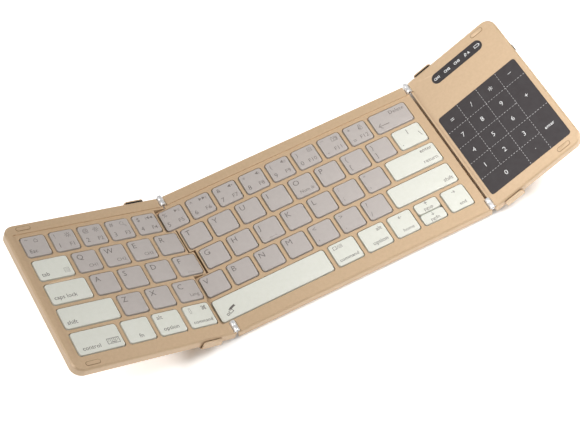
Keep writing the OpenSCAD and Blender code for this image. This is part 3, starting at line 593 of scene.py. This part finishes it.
legends = {  # text, size, spot, ink and, where it needs one, a shift in mm
    "key_esc": [[("~", "sign", "topLeft", paleInk), ("⌂", "icon", "top", paleInk, (1, 0)),
                 ("Esc", "word", "bottomLeft", darkInk)]],
    "keys_numbers_left": [
        numberKey("!", "🔅", "1", "F1"), numberKey("@", "🔆", "2", "F2"),
        numberKey("#", "🔍", "3", "F3"), numberKey("$", "|◄◄", "4", "F4")],
    "keys_numbers_mid": [
        numberKey("%", "►||", "5", "F5"), numberKey("^", "►►|", "6", "F6"),
        numberKey("&", "◄×", "7", "F7"), numberKey("*", "◄)", "8", "F8"),
        numberKey("(", "◄))", "9", "F9"), numberKey(")", "▤", "0", "F10"),
        numberKey("_", "📷", "-", "F11"), numberKey("+", "🔒", "=", "F12")],
    "key_delete": [[("Delete", "word", "topRight", paleInk), ("⟵", "long", "bottomLeft", paleInk)]],
    "key_tab": [[("tab", "word", "bottomLeft", darkInk), ("▤", "digit", "bottomRight", paleInk)]],
    "keys_upper_left": [
        letterKey("Q", "CH1"), letterKey("W", "CH2"), letterKey("E", "CH3"), letterKey("R")],
    "keys_upper_mid": [
        letterKey("T"), letterKey("Y"), letterKey("U"), letterKey("I"), letterKey("O", "Num lk"),
        letterKey("P"), signKey("{", "["), signKey("}", "]")],
    "key_backslash": [[("|", "sign", "top", darkInk), ("\\", "letter", "right", darkInk, (0, -1)),
                       (".", "letter", "bottomLeft", darkInk)]],
    "key_caps_lock": [[("caps lock", "word", "bottomLeft", darkInk)]],
    "keys_home_left": [letterKey("A"), letterKey("S"), letterKey("D"), letterKey("F")],
    "keys_home_mid": [
        letterKey("G"), letterKey("H"), letterKey("J"), letterKey("K"), letterKey("L"),
        signKey(":", ";"), signKey('"', "'")],
    "key_enter": [[("enter", "word", "topRight", paleInk), ("return", "word", "bottomRight", paleInk)]],
    "key_shift_left": [[("shift", "word", "bottomLeft", darkInk)]],
    "keys_lower_left": [letterKey("Z"), letterKey("X"), letterKey("C", "Lang")],
    "keys_lower_mid": [
        letterKey("V"), letterKey("B"), letterKey("N"), letterKey("M"),
        signKey("<", ","), signKey(">", "."), signKey("?", "/")],
    "key_shift_right": [[("shift", "word", "bottomRight", paleInk)]],
    "key_control": [[("control", "word", "bottomLeft", darkInk, (1, 0))]],
    "key_fn": [[("fn", "word", "bottom", darkInk)]],
    "key_option_left": [[("alt", "word", "topLeft", paleInk),
                         ("option", "word", "bottom", darkInk, (-0.6, 0))]],
    "key_command_left": [[("▯", "icon", "topLeft", paleInk), ("⌘", "icon", "topRight", darkInk),
                          ("command", "small", "bottomRight", darkInk)]],
    "key_space": [[]],
    "key_command_right": [[("□/▤", "small", "topLeft", paleInk),
                           ("command", "small", "bottom", darkInk)]],
    "key_option_right": [[("alt", "word", "topRight", paleInk),
                          ("option", "word", "bottomRight", darkInk)]],
    "key_arrow_left": [[("←", "arrow", "top", darkInk), ("home", "small", "bottom", paleInk, (1, 0))]],
    "key_arrow_up": [[("↑", "arrow", "top", darkInk, (0, 1.1)),
                      ("pgup", "small", "bottom", paleInk, (0, -1.6))]],
    "key_arrow_down": [[("↓", "arrow", "top", darkInk, (0, 1.1)),
                        ("pgdn", "small", "bottom", paleInk, (0, -1.6))]],
    "key_arrow_right": [[("→", "arrow", "top", darkInk), ("end", "small", "bottom", paleInk, (1.5, 0))]],
}

boardSign = {  # small keyboard on the control key
    "width": 7.2,
    "height": 3.6,
    "line": 0.28,
    "key": 0.45,
    "columns": 6,
    "rows": 2,
    "inset": (5.6, 4.6),  # centre from the key's right and front side
    "firstRow": 0.3,  # shares of the sign's height and width
    "rowStep": 0.25,
    "spread": 0.85,
    "spaceBar": 0.5,
}


def makeBoardSign(box):
    low, high = box
    width, height, key = (boardSign[name] for name in ("width", "height", "key"))
    centre = Vector((high.x - boardSign["inset"][0] * mm, low.y + boardSign["inset"][1] * mm, high.z))
    bars = frameBars(width, height, boardSign["line"])
    for row in range(boardSign["rows"]):
        y = height * (boardSign["firstRow"] - boardSign["rowStep"] * row)
        for column in range(boardSign["columns"]):
            x = width * ((column + 0.5) / boardSign["columns"] - 0.5) * boardSign["spread"]
            bars.append((x - key / 2, x + key / 2, y - key / 2, y + key / 2))
    barHalf, barFront = width * boardSign["spaceBar"] / 2, -height * boardSign["firstRow"]
    bars.append((-barHalf, barHalf, barFront, barFront + key))
    return barSign(bars, centre, darkInk)


penSign = {  # pen over two frames, on the space bar
    "pen": [(0.2, 3.6, -0.2, 1.1), (-0.5, 0.2, 0.05, 0.85), (-1.0, -0.5, 0.3, 0.6)],
    "frames": [  # width, height, line, middle
        (2.6, 1.9, 0.3, (-0.5, -1.1)), (1.5, 1.5, 0.3, (-2.9, -1.3))],
    "turn": 20,  # degrees
    "inset": (7.4, 5.6),  # centre from the key's left and front side
}


def makePenSign(box):
    low, high = box
    centre = Vector((low.x + penSign["inset"][0] * mm, low.y + penSign["inset"][1] * mm, high.z))
    bars = list(penSign["pen"])
    for frameSize in penSign["frames"]:
        bars += frameBars(*frameSize)
    return barSign(bars, centre, darkInk, penSign["turn"])


homingBar = {
    "keys": {"keys_home_left": 3, "keys_home_mid": 2},  # the F and J caps, counted from the left
    "length": 4.2,
    "width": 0.6,
    "height": 0.4,
    "sunk": 0.1,
    "front": 1.9,
    "edgeRadius": 0.08,
    "edgeSteps": 2,
}


def makeHomingBar(box):
    low, high = box
    x, y = (low.x + high.x) / 2, low.y + homingBar["front"] * mm
    half = Vector((homingBar["length"], homingBar["width"], 0)) * mm / 2
    base = Vector((x, y, high.z - homingBar["sunk"] * mm))
    bar = addBlock("homingBar", base - half, base + half + Vector((0, 0, homingBar["height"] * mm)))
    editMode(bar)
    pickFaces(bar, isTop)
    bpy.ops.mesh.bevel(
        offset=homingBar["edgeRadius"] * mm, segments=homingBar["edgeSteps"], affect="EDGES")
    objectMode()
    return bar


def pieceName(node, ending):
    first, *rest = node.split("_")
    return first + "".join(word.capitalize() for word in rest) + ending


for node, keys in legends.items():
    slotName = slotOf[node]
    boxes = keyBoxes(node)
    if len(boxes) != len(keys):
        print("WARNING", node, len(boxes), "boxes for", len(keys), "keys")
    caps = [makeCap("cap", box) for box in boxes]
    if node in homingBar["keys"]:
        caps.append(makeHomingBar(boxes[homingBar["keys"][node]]))
    capPiece = joinPieces(pieceName(node, "Caps"), caps)
    dress(capPiece, finish[slotName])
    smoothShade(capPiece)
    setDown(capPiece, placeOf(node))
    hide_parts(node)
    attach(capPiece, nodeBody[node])
    marks = []
    for box, items in zip(boxes, keys):
        for body, sizeName, spot, ink, *shift in items:
            marks.append(printText(body, legend[sizeName], spot, box, ink, *shift))
    if node == "key_control":
        marks += makeBoardSign(boxes[0])
    if node == "key_space":
        marks += makePenSign(boxes[0])
    printPiece = joinPieces(pieceName(node, "Print"), marks)
    setDown(printPiece, placeOf(node))
    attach(printPiece, nodeBody[node])
print("caps and legends on", len(legends), "key nodes")


# Key works: a dome and a scissor piece under each key, each with a mesh of its own

keyWorks = {
    "sides": 28,
    "profile": [(1.0, 0.0), (0.92, 0.18), (0.62, 0.72), (0.56, 1.0)],  # radius and height, in shares
    "membrane": 0.25 * mm,
    "slack": 0.03 * mm,  # play under the cap
}
sections = {  # membrane node, scissor node, body
    "left": ("left_dome_membrane", "left_scissors", "left_wing"),
    "mid": ("mid_dome_membrane", "mid_scissors", "mid"),
}


def makeUnitDome():
    # a dome of radius 1 and height 1, drawn up ring by ring
    profile = keyWorks["profile"]
    deselectAll()
    bpy.ops.mesh.primitive_circle_add(vertices=keyWorks["sides"], radius=1, fill_type="NGON")
    dome = bpy.context.object
    editMode(dome)
    bpy.ops.mesh.select_all(action="SELECT")
    for (radius, height), (nextRadius, nextHeight) in zip(profile, profile[1:]):
        bpy.ops.mesh.extrude_region_move(TRANSFORM_OT_translate={"value": (0, 0, nextHeight - height)})
        share = nextRadius / radius
        bpy.ops.transform.resize(value=(share, share, 1), center_override=(0, 0, nextHeight))
    bpy.ops.mesh.select_all(action="SELECT")
    bpy.ops.mesh.normals_make_consistent(inside=False)
    objectMode()
    return dome


def copyOfNode(node, name):
    # a welded copy, as the node's own mesh is loose triangles
    mesh = nodes[node].data.copy()
    copy = bpy.data.objects.new(name, mesh)
    bpy.context.scene.collection.objects.link(copy)
    editMode(copy)
    bpy.ops.mesh.select_all(action="SELECT")
    bpy.ops.mesh.remove_doubles(threshold=weldReach)
    objectMode()
    return copy


def isInside(point, box):
    low, high = box
    return all(low[i] < point[i] < high[i] for i in (0, 1))


def makeSheet(node, name, top):
    # the membrane without its domes: their walls go and the holes are closed
    back = placeOf(node).inverted()
    sheet = copyOfNode(node, name)
    editMode(sheet)
    pickFaces(sheet, lambda face: (back @ face.calc_center_median()).z > top + keyWorks["slack"])
    bpy.ops.mesh.delete(type="FACE")
    bpy.ops.mesh.select_mode(type="EDGE")
    bpy.ops.mesh.select_all(action="DESELECT")
    bpy.ops.mesh.select_non_manifold()
    bpy.ops.mesh.fill_holes(sides=0)
    objectMode()
    return sheet


def settle(piece, replaced, slotName, body):
    dress(piece, finish[slotName])
    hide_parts(replaced)
    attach(piece, body)


def giveWay(piece):
    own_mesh(piece)


unitDome = makeUnitDome()
for section, (sheetNode, scissorNode, body) in sections.items():
    place = placeOf(sheetNode)
    back = place.inverted()
    points = flatPoints(sheetNode)
    low, high = boxOf(points)
    base = low.z + keyWorks["membrane"]
    height = high.z - base
    settle(makeSheet(sheetNode, section + "Membrane", base), sheetNode, "membrane", body)
    scissors = copyOfNode(scissorNode, section + "Scissors")
    for node in legends:
        joint = next(j for j in joints.values() if j["child"] == nodeBody[node])
        if joint["parent"] != body:
            continue
        boxes = keyBoxes(node)
        domes = []
        for box in boxes:
            middle = (box[0] + box[1]) / 2
            crown = [p for p in points if p.z > base + keyWorks["slack"] and isInside(p, box)]
            radius = max((p - Vector((middle.x, middle.y, p.z))).length for p in crown)
            dome = bpy.data.objects.new("dome", unitDome.data.copy())
            bpy.context.scene.collection.objects.link(dome)
            wide = radius / keyWorks["profile"][1][0]  # the widest ring off the sheet is the second
            stretch = Matrix.Diagonal((wide, wide, height - keyWorks["slack"], 1))
            dome.data.transform(Matrix.Translation((middle.x, middle.y, base)) @ stretch)
            domes.append(dome)
        domePiece = joinPieces(pieceName(node, "Domes"), domes)
        smoothShade(domePiece)
        setDown(domePiece, place)
        settle(domePiece, sheetNode, "membrane", body)
        giveWay(domePiece)
        editMode(scissors)
        pickFaces(
            scissors, lambda face: any(isInside(back @ face.calc_center_median(), box) for box in boxes))
        bpy.ops.mesh.separate(type="SELECTED")
        objectMode()
        scissorPiece = next(o for o in bpy.context.selected_objects if o != scissors)
        scissorPiece.name = pieceName(node, "Scissors")
        scissorPiece.data.name = scissorPiece.name
        settle(scissorPiece, scissorNode, "scissor_white", body)
        giveWay(scissorPiece)
    if len(scissors.data.polygons):
        print("WARNING", section, "scissor faces left over:", len(scissors.data.polygons))
    bpy.data.objects.remove(scissors)
bpy.data.objects.remove(unitDome)
print("domes and scissors built under their keys")


# Touchpad print: dashed grid and plain number pad

padPrint = {
    "rows": 5,
    "columns": 4,
    "digit": 4.3,
    "sign": 4.6,
    "star": 6.5,
    "word": 2.9,
    "dash": 0.95,
    "dashGap": 0.95,
    "line": 0.22,
    "thickness": 0.012,
}
padSigns = [  # text, column span, row span, size
    ("=", (0, 1), (0, 1), "sign"), ("/", (1, 2), (0, 1), "sign"), ("*", (2, 3), (0, 1), "star"),
    ("–", (3, 4), (0, 1), "sign"), ("7", (0, 1), (1, 2), "digit"), ("8", (1, 2), (1, 2), "digit"),
    ("9", (2, 3), (1, 2), "digit"), ("+", (3, 4), (1, 3), "sign"), ("4", (0, 1), (2, 3), "digit"),
    ("5", (1, 2), (2, 3), "digit"), ("6", (2, 3), (2, 3), "digit"), ("1", (0, 1), (3, 4), "digit"),
    ("2", (1, 2), (3, 4), "digit"), ("3", (2, 3), (3, 4), "digit"), ("enter", (3, 4), (3, 5), "word"),
    ("0", (0, 2), (4, 5), "digit"), (".", (2, 3), (4, 5), "digit"),
]
padLines = [  # direction, line number, from, to, in cells
    ("x", 1, 0, 4), ("x", 2, 0, 3), ("x", 3, 0, 4), ("x", 4, 0, 3),
    ("y", 1, 0, 4), ("y", 2, 0, 5), ("y", 3, 0, 5),
]


def makeDashes(low, cell, direction, line, start, end, z):
    dash, gap = padPrint["dash"] * mm, padPrint["dashGap"] * mm
    along, across = (0, 1) if direction == "x" else (1, 0)
    length = (end - start) * cell[along]
    count = int(length // (dash + gap))
    pitch = length / count
    thin = Vector((0, 0, padPrint["thickness"] * mm))
    dashes = []
    for i in range(count):
        a, b = Vector((0, 0, z)), Vector((0, 0, z))
        a[along] = low[along] + start * cell[along] + i * pitch + gap / 2
        b[along] = a[along] + dash
        centre = low[across] + line * cell[across]
        a[across], b[across] = centre - padPrint["line"] / 2 * mm, centre + padPrint["line"] / 2 * mm
        dashes.append(addBlock("dash", a, b + thin))
    return dashes


padLow, padHigh = boxOf(flatPoints("touchpad_glass"))
cell = ((padHigh.x - padLow.x) / padPrint["columns"], (padHigh.y - padLow.y) / padPrint["rows"])
dashes = []
for direction, line, start, end in padLines:
    # rows count from the back, so a line's place and reach along y are turned round
    if direction == "x":
        dashes += makeDashes(padLow, cell, direction, padPrint["rows"] - line, start, end, padHigh.z)
    else:
        dashes += makeDashes(
            padLow, cell, direction, line, padPrint["rows"] - end, padPrint["rows"] - start, padHigh.z)
padGrid = joinPieces("padGridPrint", dashes)
dress(padGrid, gridInk)
setDown(padGrid, rightPlace)
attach(padGrid, "right_wing")
signs = []
for text, (left, right), (back, front), sizeName in padSigns:
    low = Vector((padLow.x + left * cell[0], padHigh.y - front * cell[1], padLow.z))
    high = Vector((padLow.x + right * cell[0], padHigh.y - back * cell[1], padHigh.z))
    signs.append(printText(text, padPrint[sizeName], "centre", (low, high), whiteInk))
padDigits = joinPieces("padDigitPrint", signs)
setDown(padDigits, rightPlace)
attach(padDigits, "right_wing")
print("touchpad print done")


# Indicator window: five small marks

windowMarks = {
    "signs": ["CH1", "CH2", "CH3", "🔒A"],
    "size": 2.2,
    "stroke": 0.06,  # bold
    "battery": {"length": 3.4, "height": 1.8, "line": 0.3, "end": 0.4, "endHalf": 0.3},
}
windowLow, windowHigh = boxOf(flatPoints("indicator_window"))
endRadius = (windowHigh.y - windowLow.y) / 2
step = (windowHigh.x - windowLow.x - 2 * endRadius) / len(windowMarks["signs"])
marks = []
for i, sign in enumerate(windowMarks["signs"]):
    centre = windowLow.x + endRadius + i * step
    low = Vector((centre - step / 2, windowLow.y, windowLow.z))
    high = Vector((centre + step / 2, windowHigh.y, windowHigh.z))
    marks.append(printText(
        sign, windowMarks["size"], "centre", (low, high), whiteInk, stroke=windowMarks["stroke"]))
cellMark = windowMarks["battery"]
cellBars = frameBars(cellMark["length"], cellMark["height"], cellMark["line"])
cellEnd = cellMark["length"] / 2
cellBars.append((cellEnd, cellEnd + cellMark["end"], -cellMark["endHalf"], cellMark["endHalf"]))
cellCentre = Vector((windowHigh.x - endRadius, (windowLow.y + windowHigh.y) / 2, windowHigh.z))
marks += barSign(cellBars, cellCentre, whiteInk)
windowPrint = joinPieces("windowPrint", marks)
setDown(windowPrint, rightPlace)
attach(windowPrint, "right_wing")
print("window marks done")


# Bumper seams: painted shade, a thin brown ring laid round each soft pad for the shadow in the seam
# between the pad and its pocket in the case

bumperSeamShade = {
    "gap": 0.3,  # width of the line in mm
    "overlap": 0.02,
    "steps": 8,
    "ends": 0.98,  # corner rounds, in shares of half the pad's width
    "thickness": 0.012,
}


# a flat ring round the pad, drawn as painted seam shadow
def makeSeamShade(box):
    low, high = box
    out = Vector((bumperSeamShade["gap"], bumperSeamShade["gap"], 0)) * mm
    low, high = low - out, high + out
    deselectAll()
    bpy.ops.mesh.primitive_plane_add(size=1, location=(low + high) / 2)
    seam = bpy.context.object
    seam.scale = (high.x - low.x, high.y - low.y, 1)
    bpy.ops.object.transform_apply(location=True, rotation=True, scale=True)
    editMode(seam)
    bpy.ops.mesh.select_all(action="SELECT")
    bpy.ops.mesh.bevel(
        offset=(high.y - low.y) / 2 * bumperSeamShade["ends"], segments=bumperSeamShade["steps"], affect="VERTICES")
    bpy.ops.mesh.inset(thickness=(bumperSeamShade["gap"] + bumperSeamShade["overlap"]) * mm)
    bpy.ops.mesh.delete(type="FACE")
    bpy.ops.mesh.select_all(action="SELECT")
    bpy.ops.mesh.extrude_region_move(
        TRANSFORM_OT_translate={"value": (0, 0, bumperSeamShade["thickness"] * mm)})
    bpy.ops.mesh.select_all(action="SELECT")
    bpy.ops.mesh.normals_make_consistent(inside=False)
    objectMode()
    return seam


for side, place in (("left", leftPlace), ("right", rightPlace)):
    padPoints = flatPoints(side + "_bumpers")
    caseTop = boxOf(flatPoints(side + "_top_case"))[1].z
    seams = []
    for isBack in (False, True):
        low, high = boxOf([p for p in padPoints if (p.y > 0) == isBack])
        low.z = high.z = caseTop
        seams.append(makeSeamShade((low, high)))
    seamShadePiece = joinPieces(side + "BumperSeams", seams)
    dress(seamShadePiece, seamShade)
    setDown(seamShadePiece, place)
    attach(seamShadePiece, side + "_wing")
print("bumper seams done")

for node, radius in caseEdges["radius"].items():
    roundEdges(node, radius)
print("case edges rounded")


# Stage: pale floor, soft light and the camera of the photograph

floor = {
    "tone": ("#f4f4f3", "#f8f8f7"),
    "grain": 400,
    "reach": 3.0,  # half size
    "glow": 0.62,  # painted light: the floor itself glows like a lit table, though it is no lamp, so it is white all round
    "shade": (0.1, 0.038, 9),  # half size of the painted shade under the middle section, where the floor does not glow
    "fade": 0.025,
    "warm": ("#eadbc6", (0.0845, 0.0465, 9), 0.003),  # tone, half size and fade of painted bounce light in it: a warm tint that the fold gaps show as the case's brown shade
}
bpy.ops.mesh.primitive_plane_add(size=2 * floor["reach"], location=(0, 0, 0))
floorPiece = bpy.context.object
floorPiece.name = "paleFloor"
floorMaterial, tree, shader, coords = newMaterial(
    "paleFloor", {"Roughness": 0.9, "Emission Color": (1, 1, 1, 1)})
mottle(tree, shader, coords, *floor["tone"], grain=floor["grain"])


def outsideBox(halfSize, fade, most):
    # a value that rises from 0 inside the box to the most where it has faded out
    reach = addNode(tree, "ShaderNodeVectorMath", {"operation": "ABSOLUTE"}, {0: coords})
    outside = addNode(
        tree, "ShaderNodeVectorMath", {"operation": "SUBTRACT", 1: halfSize}, {0: reach.outputs[0]})
    sides = addNode(tree, "ShaderNodeSeparateXYZ", links={0: outside.outputs[0]})
    farthest = addNode(
        tree, "ShaderNodeMath", {"operation": "MAXIMUM"}, {0: sides.outputs["X"], 1: sides.outputs["Y"]})
    return addNode(
        tree, "ShaderNodeMapRange", {"interpolation_type": "SMOOTHSTEP", "From Max": fade, "To Max": most},
        {"Value": farthest.outputs[0]}).outputs["Result"]


# painted light and shade: the floor glows all round but not under the middle section
tree.links.new(
    outsideBox(floor["shade"], floor["fade"], floor["glow"]), shader.inputs["Emission Strength"])
# painted bounce light: under the middle section the floor's tone turns warm
bounceTone, bounceSize, bounceFade = floor["warm"]
plainTone = shader.inputs["Base Color"].links[0].from_socket
bounce = addNode(
    tree, "ShaderNodeMixRGB", {"Color1": hexColour(bounceTone)},
    {"Fac": outsideBox(bounceSize, bounceFade, 1), "Color2": plainTone})
tree.links.new(bounce.outputs["Color"], shader.inputs["Base Color"])
dress(floorPiece, floorMaterial)

studio = {  # place, aim and size in m, watts
    "keyLight": ((-1.4, 0.35, 1.7), (0, 0, 0), 1.1, 21.6),
    "nearLight": ((0.2, -0.1, 0.35), (0.1, -0.02, 0), 0.22, 1.36),
    "fillLight": ((1.2, 1.3, 1.2), (0, 0, 0), 1.2, 0.5),
}
for name, (place, aim, size, watts) in studio.items():
    bpy.ops.object.light_add(type="AREA", location=place)
    lamp = bpy.context.object
    lamp.name = name
    lamp.data.size = size
    lamp.data.energy = watts
    lamp.rotation_mode = "QUATERNION"
    lamp.rotation_quaternion = (Vector(aim) - Vector(place)).to_track_quat("-Z", "Y")

air = {"tone": "#ffffff", "strength": 0.165}
world = bpy.data.worlds.new("studioWorld")
bpy.context.scene.world = world
world.use_nodes = True
background = world.node_tree.nodes["Background"]
background.inputs["Color"].default_value = hexColour(air["tone"])
background.inputs["Strength"].default_value = air["strength"]

camera = {
    "lens": 100.08,  # mm
    "sensor": 36,
    "clip": (0.05, 20),
    "spot": (-225.16, -440.06, 772.75),  # mm
    "forward": (0.22432, 0.48665, -0.84430),
    "up": (0.41325, 0.73712, 0.53467),
}
bpy.ops.object.camera_add()
lens = bpy.context.object
lens.name = "photoCamera"
lens.data.lens = camera["lens"]
lens.data.sensor_width = camera["sensor"]
lens.data.sensor_fit = "HORIZONTAL"
lens.data.clip_start, lens.data.clip_end = camera["clip"]
forward = Vector(camera["forward"]).normalized()
right = forward.cross(Vector(camera["up"])).normalized()
up = right.cross(forward)
lens.matrix_world = Matrix.Translation(Vector(camera["spot"]) * mm) @ Matrix(
    (right, up, -forward)).transposed().to_4x4()
bpy.context.scene.camera = lens
bpy.context.scene.view_settings.view_transform = "Standard"  # keeps the paint's own tones
print("stage and camera set")
